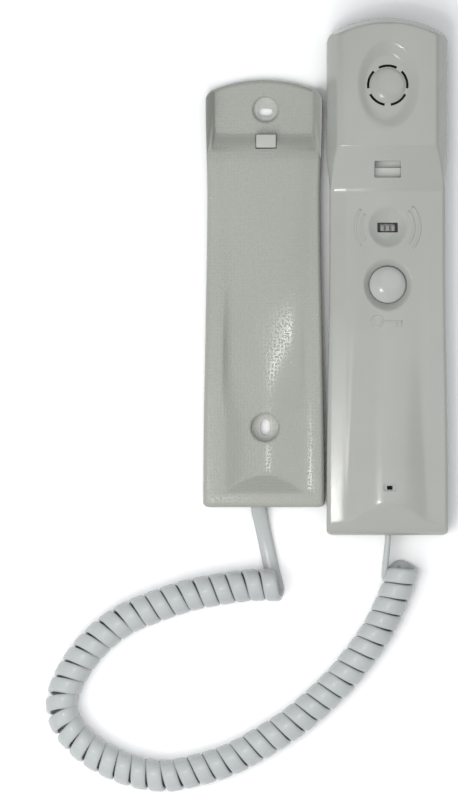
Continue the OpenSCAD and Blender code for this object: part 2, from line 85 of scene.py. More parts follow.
# ---------------------------------------------------------------- frame values, in millimetres
handset_low, handset_high = node_box_mm("handset_front_shell")
cradle_low, cradle_high = node_box_mm("cradle_shell")
HANDSET_CX, CRADLE_CX = middle("handset_front_shell", 0), middle("cradle_shell", 0)
HANDSET_Y0, CRADLE_Y0 = handset_low[1], cradle_low[1]
HALF_W = (handset_high[0] - handset_low[0]) / 2
EAR_Y, MIC_Y = middle("speaker_basket", 1), middle("microphone", 1)
VOLUME_Y, BUTTON_Y = middle("volume_slider", 1), middle("door_button", 1)
TAB_X = middle("hook_tab", 0)
joints = {joint["name"]: joint for joint in frame["joints"]}
TURN_Z = joints["handset_turn"]["pos_m"][2] / MM
DOCK_SHIFT = joints["handset_seat"]["range_m"][1] / MM

# The same shape rules as the CAD shells
FLANGE_Z = 14.6
BODY_Z = 20.5
HEAD_Z = 25.4
SHELF_Z = 3.8
DOCK_GAP = 1.2
WALL = 2.0
RIDGE_Y, SLOPE_FOOT_Y = 53.5, 35.5
BEVEL_Z, BEVEL_SLOPE = 16.35, 0.5
FOOT_RISE = 2.0
CROWN_CURVE, CROWN_HALF = 0.0145, 17  # at the foot, and its half width between the edge bands
EDGE_FOOT_Z, EDGE_TOP_Z, EDGE_SLOPE = 18.2, 19.2, 0.07
EDGE_HALF, RIM_HALF = 26, 18.5  # where the edge band ends, and where the channel's rim takes it
SHELF_FOOT_Y, STEP_TOP_Y = 59.7, 51.9
LATCH_Y, KEY_Y = 43.8, -18.6
BUTTON_HOLE_R, BUTTON_DISH_Z = 7.75, 18.3
LATCH_HALF_X, LATCH_HALF_Y = 5.4, 3.4
END_CORNER = 3
COIL_D = 13.3
FLAT_W, FLAT_T = 6.2, 2.6
LEAD_X, LEAD_Z = -27.5, 3.3  # of the cradle's lead where it leaves the foot
TAB_FOOT_Y = 52.9

# The cradle's screw holes: a round recess down to a seat, which has a round-ended slot
Screw = namedtuple("Screw", "x y recess seat slot_r slot_half slot_y along_x")
SCREWS = (
    Screw(-24.6, 68.6, recess=5.1, seat=1.8, slot_r=1.7, slot_half=1.35, slot_y=-1.2, along_x=True),
    Screw(-24.8, -61.9, recess=5.7, seat=2.6, slot_r=1.9, slot_half=1.45, slot_y=0, along_x=False),
)


# ---------------------------------------------------------------- camera
CAMERA_HEIGHT = 5.0
FACE_HEIGHT = 0.010  # of the faces on average
VIEW_CENTRE = (-0.0396, -0.0506)
VIEW_HEIGHT = 0.328  # of the picture, at the faces
SENSOR = 24
scene = bpy.context.scene
camera_data = bpy.data.cameras.new("camera")
camera_data.sensor_fit = "VERTICAL"
camera_data.sensor_height = SENSOR
camera_data.lens = SENSOR * (CAMERA_HEIGHT - FACE_HEIGHT) / VIEW_HEIGHT
camera_data.clip_start, camera_data.clip_end = 0.05, 20
camera = bpy.data.objects.new("camera", camera_data)
scene.collection.objects.link(camera)
camera.location = (*VIEW_CENTRE, CAMERA_HEIGHT)
scene.camera = camera


# ---------------------------------------------------------------- outline and mesh helpers
def on_circle(radius, angle):
    """The point at this angle of a circle about the origin."""
    return radius * math.cos(angle), radius * math.sin(angle)


def circle(radius, count=96):
    return [on_circle(radius, 2 * math.pi * k / count) for k in range(count)]


def object_of(mesh, material=None):
    """A new object around a mesh, under the mesh's name."""
    obj = bpy.data.objects.new(mesh.name, mesh)
    scene.collection.objects.link(obj)
    if material:
        mesh.materials.append(material)
    return obj


def add_mesh(name, verts, faces, material=None):
    """A new object from vertices in metres."""
    mesh = bpy.data.meshes.new(name)
    mesh.from_pydata([tuple(v) for v in verts], [], faces)
    mesh.update()
    mesh.polygons.foreach_set("use_smooth", [True] * len(mesh.polygons))
    return object_of(mesh, material)


def add_bmesh(name, bm, material=None):
    """A new object from an edit mesh, which is freed."""
    mesh = bpy.data.meshes.new(name)
    bm.to_mesh(mesh)
    bm.free()
    return object_of(mesh, material)


def tangent(pts, i):
    """The direction of a polyline at one of its points."""
    return (pts[min(i + 1, len(pts) - 1)] - pts[max(i - 1, 0)]).normalized()


def smooth_by_angle(obj, degrees):
    """Smooth shading with sharp edges above an angle, held as edge flags."""
    bm = bmesh.new()
    bm.from_mesh(obj.data)
    limit = math.radians(degrees)
    for e in bm.edges:
        e.smooth = len(e.link_faces) != 2 or e.calc_face_angle(0) < limit
    for f in bm.faces:
        f.smooth = True
    bm.to_mesh(obj.data)
    bm.free()


def sweep_mesh(name, path, frames, section, material):
    """Sweeps a section (list of 2D points) along a path, with (side, up) axes at each point."""
    rings = []
    for p, (side, up) in zip(path, frames):
        rings += [p + side * a + up * b for a, b in section]
    n, m = len(section), len(path)
    faces = [
        (i * n + k, i * n + (k + 1) % n, (i + 1) * n + (k + 1) % n, (i + 1) * n + k)
        for i in range(m - 1)
        for k in range(n)
    ]
    faces += [tuple(range(n - 1, -1, -1)), tuple((m - 1) * n + k for k in range(n))]
    return add_mesh(name, rings, faces, material)


# ---------------------------------------------------------------- materials
def new_material(name, colour, roughness):
    """A Principled material, returned with its node tree, shader and object coordinates."""
    mat = bpy.data.materials.new(name)
    mat.use_nodes = True
    tree = mat.node_tree
    shader = tree.nodes["Principled BSDF"]
    shader.inputs["Base Color"].default_value = (*colour, 1)
    shader.inputs["Roughness"].default_value = roughness
    coords = tree.nodes.new("ShaderNodeTexCoord")
    return mat, tree, shader, coords.outputs["Object"]


def soften(shader, weight):
    """A little light scattered just under the surface."""
    shader.inputs["Subsurface Weight"].default_value = weight
    shader.inputs["Subsurface Radius"].default_value = (0.002, 0.0016, 0.0012)
    shader.inputs["Subsurface Scale"].default_value = 1.0


def noise(tree, coords, scale, detail, output="Fac"):
    n = tree.nodes.new("ShaderNodeTexNoise")
    n.inputs["Scale"].default_value = scale
    n.inputs["Detail"].default_value = detail
    tree.links.new(coords, n.inputs["Vector"])
    return n.outputs[output]


def vary_roughness(tree, shader, fac, low, high):
    """Roughness that wanders between two values, by a noise from 0 to 1."""
    n = tree.nodes.new("ShaderNodeMapRange")
    n.inputs["To Min"].default_value = low
    n.inputs["To Max"].default_value = high
    tree.links.new(fac, n.inputs["Value"])
    tree.links.new(n.outputs["Result"], shader.inputs["Roughness"])


def tint(tree, shader, fac, dark, light):
    """Colour between two near tones, by a noise."""
    ramp = tree.nodes.new("ShaderNodeValToRGB")
    ramp.color_ramp.elements[0].position = 0.3
    ramp.color_ramp.elements[0].color = (*dark, 1)
    ramp.color_ramp.elements[1].position = 0.7
    ramp.color_ramp.elements[1].color = (*light, 1)
    tree.links.new(fac, ramp.inputs["Fac"])
    tree.links.new(ramp.outputs["Color"], shader.inputs["Base Color"])


def bump(tree, shader, height, distance, under=None):
    """Relief of this depth in metres, laid over another relief if there is one under it."""
    n = tree.nodes.new("ShaderNodeBump")
    n.inputs["Distance"].default_value = distance
    tree.links.new(height, n.inputs["Height"])
    if under:
        tree.links.new(under, n.inputs["Normal"])
    tree.links.new(n.outputs["Normal"], shader.inputs["Normal"])
    return n.outputs["Normal"]


def moulded_plastic(name, colour, roughness, spread=0.04, ripple=0.00004, fine=0.000006):
    """Moulded plastic: slight tone drift, slow sink ripple, fine polish marks."""
    mat, tree, shader, coords = new_material(name, colour, roughness)
    soften(shader, 0.06)
    dark, light = [c * (1 - spread) for c in colour], [c * (1 + spread) for c in colour]
    tint(tree, shader, noise(tree, coords, 22, 4), dark, light)
    vary_roughness(tree, shader, noise(tree, coords, 260, 5), roughness * 0.8, roughness * 1.25)
    slow = bump(tree, shader, noise(tree, coords, 45, 1), ripple)
    bump(tree, shader, noise(tree, coords, 2500, 2), fine, slow)
    return mat


def grained_plastic(name, colour, roughness):
    """Grained plastic: soft pits about 1.4 mm apart in a level face, slightly out of line."""
    mat, tree, shader, coords = new_material(name, colour, roughness)
    soften(shader, 0.05)
    dark, light = [c * 0.96 for c in colour], [c * 1.03 for c in colour]
    tint(tree, shader, noise(tree, coords, 18, 4), dark, light)
    cells = tree.nodes.new("ShaderNodeTexVoronoi")
    cells.voronoi_dimensions = "2D"
    cells.feature = "F1"
    cells.inputs["Scale"].default_value = 720
    cells.inputs["Randomness"].default_value = 0.55
    warp = tree.nodes.new("ShaderNodeVectorMath")
    warp.operation = "MULTIPLY_ADD"
    tree.links.new(noise(tree, coords, 300, 2, "Color"), warp.inputs[0])
    warp.inputs[1].default_value = (0.0002, 0.0002, 0.0002)
    tree.links.new(coords, warp.inputs[2])
    tree.links.new(warp.outputs["Vector"], cells.inputs["Vector"])
    rounded = tree.nodes.new("ShaderNodeMapRange")
    rounded.interpolation_type = "SMOOTHSTEP"
    rounded.inputs["From Min"].default_value = 0.06
    rounded.inputs["From Max"].default_value = 0.36
    tree.links.new(cells.outputs["Distance"], rounded.inputs["Value"])
    grain = bump(tree, shader, rounded.outputs["Result"], 0.00008)
    bump(tree, shader, noise(tree, coords, 3000, 2), 0.000003, grain)
    vary_roughness(tree, shader, noise(tree, coords, 400, 4), roughness * 0.85, roughness * 1.2)
    return mat


def metal(name, colour, roughness):
    """Plated steel with a faint grain."""
    mat, tree, shader, coords = new_material(name, colour, roughness)
    shader.inputs["Metallic"].default_value = 1.0
    vary_roughness(tree, shader, noise(tree, coords, 900, 5), roughness * 0.7, roughness * 1.4)
    bump(tree, shader, noise(tree, coords, 1800, 3), 0.00001)
    return mat


ivory_gloss = moulded_plastic("ivory_gloss", (0.325, 0.330, 0.305), 0.16)
button_gloss = moulded_plastic("button_gloss", (0.36, 0.37, 0.35), 0.14)
tab_plastic = moulded_plastic("tab_plastic", (0.395, 0.405, 0.375), 0.38)
plate_plastic = moulded_plastic("plate_plastic", (0.28, 0.285, 0.255), 0.5)
grey_textured = grained_plastic("grey_textured", (0.315, 0.320, 0.290), 0.165)
# Lighter than grey_textured: painted light that lifts the shade inside the screw recesses
recess_painted_light = grained_plastic("recess_painted_light", (0.40, 0.405, 0.375), 0.24)
# Lighter than ivory_gloss: painted light that lifts the shade inside the latch pocket
pocket_painted_light = moulded_plastic("pocket_painted_light", (0.44, 0.445, 0.42), 0.3)
plate_grey = moulded_plastic("plate_grey", (0.11, 0.11, 0.105), 0.6)
rib_plastic = moulded_plastic("rib_plastic", (0.24, 0.24, 0.225), 0.55)
cord_vinyl = moulded_plastic(
    "cord_vinyl", (0.40, 0.42, 0.415), 0.2, spread=0.05, ripple=0.00005, fine=0.00001
)
knob_plastic = moulded_plastic("knob_plastic", (0.17, 0.17, 0.16), 0.55)
black_plastic = moulded_plastic("black_plastic", (0.02, 0.02, 0.022), 0.45)
board_green = moulded_plastic("board_green", (0.02, 0.12, 0.05), 0.35)
terminal_green = moulded_plastic("terminal_green", (0.03, 0.14, 0.06), 0.5)
zinc_steel = metal("zinc_steel", (0.62, 0.62, 0.6), 0.35)
spring_steel = metal("spring_steel", (0.66, 0.67, 0.7), 0.25)
speaker_paint = moulded_plastic("speaker_paint", (0.08, 0.085, 0.09), 0.45)
ferrite = moulded_plastic(
    "ferrite", (0.05, 0.05, 0.052), 0.7, spread=0.2, ripple=0.00005, fine=0.00004
)
cone_paper = moulded_plastic(
    "cone_paper", (0.10, 0.09, 0.06), 0.85, spread=0.15, ripple=0.0001, fine=0.00005
)
ROUGH = {"spread": 0.2, "ripple": 0.0001, "fine": 0.0001}
mic_felt = moulded_plastic("mic_felt", (0.012, 0.012, 0.013), 0.95, **ROUGH)
foam = moulded_plastic("foam", (0.03, 0.03, 0.032), 0.9, **ROUGH)

NODE_MATERIALS = {
    "cradle_back_plate": plate_plastic,
    "hook_switch": black_plastic,
    "cradle_pcb": board_green,
    "cradle_pcb_screws": zinc_steel,
    "terminal_block": terminal_green,
    "terminal_screws": zinc_steel,
    "cord_clamp": plate_plastic,
    "cord_clamp_screws": zinc_steel,
    "handset_shell_screws": zinc_steel,
    "speaker_gasket": foam,
    "speaker_basket": speaker_paint,
    "speaker_cone": cone_paper,
    "speaker_magnet": ferrite,
    "microphone": mic_felt,
    "microphone_boot": foam,
    "handset_pcb": board_green,
    "handset_pcb_screws": zinc_steel,
    "door_switch": black_plastic,
    "volume_switch": black_plastic,
}
for node, material in NODE_MATERIALS.items():
    slots = frame["nodes"][node].data.materials
    slots.clear()
    slots.append(material)


# ---------------------------------------------------------------- cord
def points(rows):
    return [Vector(r) for r in rows]


def catmull(pts, steps):
    """A smooth curve through the points, steps pieces to each span."""
    out = []
    last = len(pts) - 1
    for i in range(last):
        a, b, c, d = pts[max(0, i - 1)], pts[i], pts[i + 1], pts[min(last, i + 2)]
        square, cube = 2 * a - 5 * b + 4 * c - d, 3 * b - 3 * c + d - a
        for k in range(steps):
            t = k / steps
            out.append(0.5 * (2 * b + (c - a) * t + square * t**2 + cube * t**3))
    return out + [pts[last]]


def resample(pts, count):
    """count + 1 points evenly spaced along a polyline."""
    lengths = [0.0]
    for a, b in zip(pts, pts[1:]):
        lengths.append(lengths[-1] + (b - a).length)
    out, j = [], 0
    for i in range(count + 1):
        want = lengths[-1] * i / count
        while j < len(pts) - 2 and lengths[j + 1] < want:
            j += 1
        span = lengths[j + 1] - lengths[j]
        out.append(pts[j].lerp(pts[j + 1], (want - lengths[j]) / span if span else 0))
    return out


COIL_Z = COIL_D / 2 + 0.05
coil_route = points(
    [(x, y, COIL_Z) for x, y in (
        (-19.5, -126.5), (-31, -126.5), (-45, -128.5), (-57, -131), (-71, -135.8), (-83, -141),
        (-94, -149.5), (-102, -159.5), (-107.5, -171), (-107.5, -180), (-103, -188), (-94, -196),
        (-80, -202.5), (-66, -204.7), (-53, -202.5), (-39, -198), (-26, -191), (-11.5, -181.5),
        (3.5, -168), (12.5, -157.5), (21, -145.5), (27, -133.5), (30.2, -125), (31.9, -119.6))]
)
LYING_Z = FLAT_T / 2 + 0.1
cradle_lead_route = points(
    [(LEAD_X, -81, LEAD_Z), (-27.4, -95, LEAD_Z), (-26.3, -100.5, 2.1), (-24.6, -108.5, LYING_Z),
     (-22.6, -117.5, LYING_Z), (-20.5, -126, LYING_Z)]
)
handset_lead_route = points(
    [(25.6, -88, 7.6), (25.6, -106, 7.6), (25.2, -112, 7.6), (24.7, -116.5, 7.3),
     (24.3, -120.2, 6.0), (24.2, -121.6, 4.3), (24.9, -122.1, 2.7), (26.8, -121.8, 1.9)]
)
TURNS = 46
TURN_STEPS = 22
SKIPPED_STEPS = 2  # of the first turn, where the cradle's lead wraps up into it
COIL_R = (COIL_D - FLAT_T) / 2
EDGEWISE_Z, FLATWISE_Z = 4.0, 1.6  # the handset's lead turns from edge to flat as it comes down
UP = Vector((0, 0, 1))


def coil_helix():
    """The points of the coil's turns, and the way outward from its axis at each."""
    centre = resample(catmull(coil_route, 24), TURNS * TURN_STEPS)
    helix, outward = [], []
    for i, c in enumerate(centre):
        side = UP.cross(tangent(centre, i)).normalized()
        angle = 2 * math.pi * i / TURN_STEPS - math.pi / 2
        radial = side * math.cos(angle) + UP * math.sin(angle)
        helix.append(c + radial * COIL_R)
        outward.append(radial)
    return helix[SKIPPED_STEPS:], outward[SKIPPED_STEPS:]


def bridge(path, ups, i, steps=12):
    """An eased span from point i of the path to the next, without its ends."""
    a, b = path[i], path[i + 1]
    leaving = (a - path[i - 1]).normalized()
    coming = (path[i + 2] - b).normalized()
    reach = (b - a).length
    span, span_ups = [], []
    for k in range(1, steps):
        t = k / steps
        span.append(
            a * (1 - t) ** 3
            + (a + leaving * reach * 0.5) * 3 * t * (1 - t) ** 2
            + (b - coming * reach * 0.5) * 3 * t**2 * (1 - t)
            + b * t**3
        )
        span_ups.append(ups[i].lerp(ups[i + 1], t * t * (3 - 2 * t)).normalized())
    return span, span_ups


def flat_section():
    """The cord's flat section, with bluntly rounded edges."""

    def blunt(x, power):
        return math.copysign(abs(x) ** power, x)

    return [(blunt(c, 0.55) * FLAT_W / 2, blunt(s, 0.8) * FLAT_T / 2) for c, s in circle(1, 14)]


def build_cord():
    """One flat cord: a lead, the coil and the other lead, with its flat side to the coil's axis."""
    helix, outward = coil_helix()
    start = catmull(cradle_lead_route, 10)
    end = list(reversed(catmull(handset_lead_route, 10)))
    # The cradle's lead lies flat and wraps up. The handset's comes round the coil on edge
    start_ups = [-UP] * len(start)
    end_ups = []
    for p in end:
        k = min(1, max(0, (p.z - FLATWISE_Z) / (EDGEWISE_Z - FLATWISE_Z)))
        end_ups.append(Vector((-k, 0, k - 1)).normalized())
    path = start + helix + end
    ups = start_ups + outward + end_ups
    for join in (len(start) + len(helix) - 1, len(start) - 1):
        span, span_ups = bridge(path, ups, join)
        path[join + 1 : join + 1] = span
        ups[join + 1 : join + 1] = span_ups
    frames = []
    for i, normal in enumerate(ups):
        t = tangent(path, i)
        up = (normal - t * normal.dot(t)).normalized()
        frames.append((up.cross(t) * MM, up * MM))
    path_m = [p * MM for p in path]
    return sweep_mesh("curly_cord_wound", path_m, frames, flat_section(), cord_vinyl), path_m


cord, cord_path = build_cord()
print("cord length", round(sum((b - a).length for a, b in zip(cord_path, cord_path[1:])), 3))
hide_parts("curly_cord", "cradle_lead", "handset_lead")
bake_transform(cord)


# ---------------------------------------------------------------- shell surfaces
def ramp(a, b, x):
    """From 0 at a to 1 at b."""
    return np.clip((x - a) / (b - a), 0, 1)


def ease(a, b, x):
    """From 0 at a to 1 at b, level at both ends."""
    t = ramp(a, b, x)
    return t * t * (3 - 2 * t)


def soft_max(a, b, k):
    """The larger of two heights, rounded over a width of about k where they cross."""
    return (a + b + np.sqrt((a - b) ** 2 + k * k)) / 2


def soft_min(a, b, k):
    return (a + b - np.sqrt((a - b) ** 2 + k * k)) / 2


def handset_half(y):
    """The handset's half width, with a narrower waist."""
    return HALF_W - 1.2 + 1.2 * ease(36, 50, y) + 1.2 * ease(10, -90, y)


def cradle_half(y):
    """The cradle's half width, with a narrower waist."""
    return HALF_W - 1.7 + 0.7 * ease(30, 70, y) + 1.7 * ease(40, -90, y)


def body_edge(y):
    """The height of the handset's edge where its crown ends."""
    return EDGE_FOOT_Z + (EDGE_TOP_Z - EDGE_FOOT_Z) * ease(-70, 30, y)


def body_face(u, y, trough=False):
    """The handset's crowned body, or the shape that the cradle's channel takes from it."""
    curve = CROWN_CURVE - 0.011 * ease(-70, 30, y)
    if trough:
        # The channel is flatter in the middle and curls up nearer its rims
        flat = CROWN_CURVE - 0.0121 * ease(-75, -35, y)
        drop = flat * u * u + (curve - flat) * CROWN_HALF**2 * (u / CROWN_HALF) ** 12
        crown = BODY_Z + FOOT_RISE * (1 - ease(-62, -12, y)) - drop
    else:
        crown = BODY_Z + FOOT_RISE * np.clip((8 - y) / 100, 0, 1) ** 1.25 - curve * u * u
    edge = body_edge(y) + EDGE_SLOPE * (EDGE_HALF - np.maximum(CROWN_HALF, np.abs(u)))
    return soft_max(crown, edge, 0.8)


def slope_share(y):
    """0 on the body, 1 on the head, with a small round at the foot and a crisp ridge."""
    k = (y - SLOPE_FOOT_Y) / (RIDGE_Y - SLOPE_FOOT_Y)
    return soft_min(soft_max(k, 0, 0.09), 1, 0.015)


def handset_face(u, y, trough=False):
    """The handset's face without its dishes: body, slope, head, and side and foot bevels."""
    w = handset_half(y)
    # k is 0 on the body and 1 on the head, which has a slight crown of its own
    k = np.clip(slope_share(y), 0, 1)
    top = body_face(u, y, trough) * (1 - k) + (HEAD_Z - 0.6 * (u / 20) ** 2) * k
    edge = body_edge(y) * (1 - k) + FLANGE_Z * k
    z = soft_min(top, edge + 2.3 * (w - np.abs(u)), 0.1 + 1.1 * k)
    return soft_min(z, BEVEL_Z + BEVEL_SLOPE * (y - HANDSET_Y0), 0.25)


HUNG_Z = 2 * TURN_Z - DOCK_GAP  # a handset's height and its cradle's add up to this
RIM_Z = HUNG_Z - FLANGE_Z


def hung_face(u, y):
    """The face that lies one gap under a handset hung in the cradle."""
    return HUNG_Z - handset_face(u, y - DOCK_SHIFT, True)


def cradle_face(u, y):
    """The cradle's face: channel, step, ear shelf, rims, and round edges to its screw holes."""
    w = cradle_half(y)
    top = hung_face(0, STEP_TOP_Y)
    step = SHELF_Z + (top - SHELF_Z) * ease(SHELF_FOOT_Y, STEP_TOP_Y, y)
    side = RIM_Z - 3 * np.maximum(0, w - np.abs(u))
    shelf = soft_max(step, side, 1.0)
    hung = hung_face(u, y)
    low_rim = HUNG_Z - body_edge(y - DOCK_SHIFT) - (EDGE_HALF - RIM_HALF) * EDGE_SLOPE
    k = ramp(SLOPE_FOOT_Y + DOCK_SHIFT - 6, SLOPE_FOOT_Y + DOCK_SHIFT, y)
    trough = soft_min(hung, low_rim, 0.25) * (1 - k) + hung * k
    soft = ease(STEP_TOP_Y - 0.4, STEP_TOP_Y + 1.6, y)
    z = trough * (1 - soft) + soft_min(shelf, hung, 0.2) * soft
    for screw in SCREWS:
        away = np.hypot(u + CRADLE_CX - screw.x, y - screw.y)
        z = z - rounded_edge(np.maximum(0, away - screw.recess), 0.8)
    return soft_min(z, RIM_Z, 0.3)


def ear_dish(u, y):
    """The depth of the oval dish at the earpiece."""
    return 1.6 * (1 - ease(0.62, 1.02, np.hypot(u / 13, (y - EAR_Y) / 18.6)))


def volume_dish(u, y):
    """The height of the ball-shaped dish's floor, or a high value outside it."""
    ball_r, ball_z = 15.5, 33.9
    r2 = u * u + (y - VOLUME_Y) ** 2
    floor_z = ball_z - np.sqrt(np.maximum(ball_r**2 - r2, 1e-6))
    return np.where(r2 < ball_r**2 * 0.98, floor_z, 99.0)


def button_dish(u, y):
    """The height of the cone-shaped dish around the door button, level inside its hole."""
    mouth_r, mouth_z = 10.6, 20.9
    away = np.hypot(u, y - BUTTON_Y) - BUTTON_HOLE_R
    slope = away * (mouth_z - BUTTON_DISH_Z) / (mouth_r - BUTTON_HOLE_R)
    return np.maximum(BUTTON_DISH_Z, BUTTON_DISH_Z + slope)


def handset_skin(u, y):
    """The visible face of the handset, with its dishes."""
    z = handset_face(u, y) - ear_dish(u, y)
    z = soft_min(z, volume_dish(u, y), 0.06)
    return soft_min(z, button_dish(u, y), 0.06)


def rounded_edge(distance, radius):
    """How far a face drops at this distance from its outline, for a round edge."""
    d = np.clip(distance, 0, radius)
    return radius - np.sqrt(np.maximum(radius**2 - (radius - d) ** 2, 0))


class Moulding:
    """What differs between the two shells. Each has an arc for a head and a nearly square foot."""

    def __init__(self, low, high, half_width, face, head_arc, edge_r, foot_edge_r, head_bevel):
        self.cx = (low[0] + high[0]) / 2
        self.y0, self.y1 = low[1], high[1]
        self.rim_z = low[2]
        self.half_width, self.face = half_width, face
        self.head_arc = head_arc
        self.edge_r, self.foot_edge_r = edge_r, foot_edge_r
        self.head_bevel = head_bevel


HANDSET = Moulding(
    handset_low, handset_high, handset_half, handset_skin,
    head_arc=45.0, edge_r=1.6, foot_edge_r=1.6 * 1.7, head_bevel=True,
)
CRADLE = Moulding(
    cradle_low, cradle_high, cradle_half, cradle_face,
    head_arc=55.0, edge_r=1.8, foot_edge_r=1.8, head_bevel=False,
)


def shell_grid(part, columns, rows, inset=0.0, drop=0.0, round_edges=False):
    """Vertices of one skin of a shell, as a (rows, columns, 3) array."""
    y0, y1, arc = part.y0, part.y1, part.head_arc
    # Level rows and columns, closer together at the edges
    t = np.linspace(-1, 1, columns)
    s = np.sign(t) * (1 - (1 - np.abs(t)) ** 1.25)
    v = np.linspace(0, 1, rows)
    v = np.where(v < 0.5, 0.5 * (2 * v) ** 1.12, 1 - 0.5 * (2 - 2 * v) ** 1.12)
    S, Y = np.meshgrid(s, y0 + v * (y1 - y0))
    w = part.half_width(Y) - inset
    U = S * w
    # The rows near each end bend to follow its outline, whose corners are flatter at the foot
    past_corner = np.maximum(0, np.abs(U) - (w - END_CORNER))
    corner = END_CORNER - np.sqrt(np.maximum(0, END_CORNER**2 - past_corner**2))
    bow = arc - np.sqrt(arc**2 - U**2)
    top = y1 - inset - bow - corner
    foot = y0 + inset + 0.6 * corner
    bend_top, bend_foot = y1 - 22, y0 + 8
    near_top = bend_top + (top - bend_top) * (Y - bend_top) / (y1 - bend_top)
    near_foot = foot + (bend_foot - foot) * (Y - y0) / (bend_foot - y0)
    YY = np.where(Y > bend_top, near_top, np.where(Y < bend_foot, near_foot, Y))
    face = part.face(U, YY)
    if part.head_bevel:
        face = soft_min(face, FLANGE_Z + 5 * (y1 - bow - YY - inset), 1.5)
    if round_edges:
        side = rounded_edge(w - np.abs(U), part.edge_r)
        end = rounded_edge(top - YY, part.edge_r)
        start = rounded_edge(YY - foot, part.foot_edge_r)
        face = face - np.maximum(np.maximum(side, end), start)
    return np.stack([part.cx + U, YY, face - drop], axis=-1)


def rim_ring(rows, columns):
    """The (row, column) places around the rim of a grid, in order."""
    return (
        [(0, i) for i in range(columns)]
        + [(j, columns - 1) for j in range(1, rows)]
        + [(rows - 1, i) for i in range(columns - 2, -1, -1)]
        + [(j, 0) for j in range(rows - 2, 0, -1)]
    )


def shell_mesh(name, part, columns, rows):
    """A closed moulded shell: outer and inner skins joined by skirts down to the rim."""
    outer = shell_grid(part, columns, rows, round_edges=True)
    inner = shell_grid(part, columns, rows, inset=WALL, drop=WALL)
    ring = rim_ring(rows, columns)
    low_outer = np.array([outer[r] for r in ring])
    low_inner = np.array([inner[r] for r in ring])
    low_outer[:, 2], low_inner[:, 2] = part.rim_z, part.rim_z
    verts = np.concatenate([outer.reshape(-1, 3), inner.reshape(-1, 3), low_outer, low_inner]) * MM
    n, m = rows * columns, len(ring)
    faces = []
    for j in range(rows - 1):
        for i in range(columns - 1):
            a = j * columns + i
            faces.append((a, a + 1, a + columns + 1, a + columns))
            faces.append((n + a, n + a + columns, n + a + columns + 1, n + a + 1))
    index = [j * columns + i for j, i in ring]
    for k in range(m):
        k2 = (k + 1) % m
        faces.append((index[k2], index[k], 2 * n + k, 2 * n + k2))
        faces.append((n + index[k], n + index[k2], 2 * n + m + k2, 2 * n + m + k))
        faces.append((2 * n + k, 2 * n + m + k, 2 * n + m + k2, 2 * n + k2))
    return add_mesh(name, verts, faces)


# ---------------------------------------------------------------- cutters
def loop_at(bm, outline, place, z):
    """New corners of an outline, moved to a place and height in mm."""
    return [bm.verts.new(((x + place[0]) * MM, (y + place[1]) * MM, z * MM)) for x, y in outline]


def prism(bm, outline, low, high, place):
    """Adds a closed prism with this outline (mm) between two heights."""
    bottom, top = loop_at(bm, outline, place, low), loop_at(bm, outline, place, high)
    bm.faces.new(list(reversed(bottom)))
    bm.faces.new(top)
    for k in range(len(outline)):
        k2 = (k + 1) % len(outline)
        bm.faces.new((bottom[k], bottom[k2], top[k2], top[k]))


BELOW_Z, ABOVE_Z = -2, 30  # clear of every face


def hole(bm, outline, place):
    """Adds a prism that goes right through a part."""
    prism(bm, outline, BELOW_Z, ABOVE_Z, place)


def rounded_rect(half_x, half_y, radius):
    """A rectangle with round corners, five pieces to each."""
    pts = []
    for cx, cy, start in ((1, 1, 0), (-1, 1, 90), (-1, -1, 180), (1, -1, 270)):
        for k in range(6):
            x, y = on_circle(radius, math.radians(start + 90 * k / 5))
            pts.append((cx * (half_x - radius) + x, cy * (half_y - radius) + y))
    return pts


def slot_outline(half, radius, along_x):
    """A round-ended slot."""
    pts = []
    for sign, start in ((1, -90), (-1, 90)):
        for k in range(17):
            x, y = on_circle(radius, math.radians(start + 180 * k / 16))
            pts.append((sign * half + x, y))
    return pts if along_x else [(-y, x) for x, y in pts]


def arc_slot(inner, outer, middle, width):
    """A slot along an arc, with its middle and width in degrees."""
    angles = [math.radians(middle - width / 2 + width * k / 24) for k in range(25)]
    return [on_circle(outer, a) for a in angles] + [on_circle(inner, a) for a in reversed(angles)]


def cut(obj, bm):
    """Subtracts a cutter mesh from an object and applies the result."""
    bmesh.ops.recalc_face_normals(bm, faces=bm.faces)
    cutter = add_bmesh("cutter", bm)
    mesh = cutter.data
    modifier = obj.modifiers.new("cut", "BOOLEAN")
    modifier.operation = "DIFFERENCE"
    modifier.solver = "EXACT"
    modifier.object = cutter
    bpy.context.view_layer.update()
    evaluated = obj.evaluated_get(bpy.context.evaluated_depsgraph_get())
    done = bpy.data.meshes.new_from_object(evaluated)
    obj.modifiers.clear()
    old = obj.data
    obj.data = done
    done.name = old.name
    bpy.data.meshes.remove(old)
    bpy.data.objects.remove(cutter)
    bpy.data.meshes.remove(mesh)


def revolve(name, profile, centre, material=None, steps=128):
    """A solid of (radius, z) points in mm, turned about a vertical line through centre."""
    cx, cy = centre
    verts, faces, ring_of = [], [], []
    for r, z in profile:
        if r == 0:
            ring_of.append([len(verts)] * steps)
            verts.append((cx * MM, cy * MM, z * MM))
        else:
            ring_of.append(list(range(len(verts), len(verts) + steps)))
            verts += [((cx + x) * MM, (cy + y) * MM, z * MM) for x, y in circle(r, steps)]
    for lower, upper in zip(ring_of, ring_of[1:]):
        for k in range(steps):
            k2 = (k + 1) % steps
            quad = []
            for v in (lower[k], lower[k2], upper[k2], upper[k]):
                if v not in quad:
                    quad.append(v)
            if len(quad) > 2:
                faces.append(tuple(quad))
    return add_mesh(name, verts, faces, material)


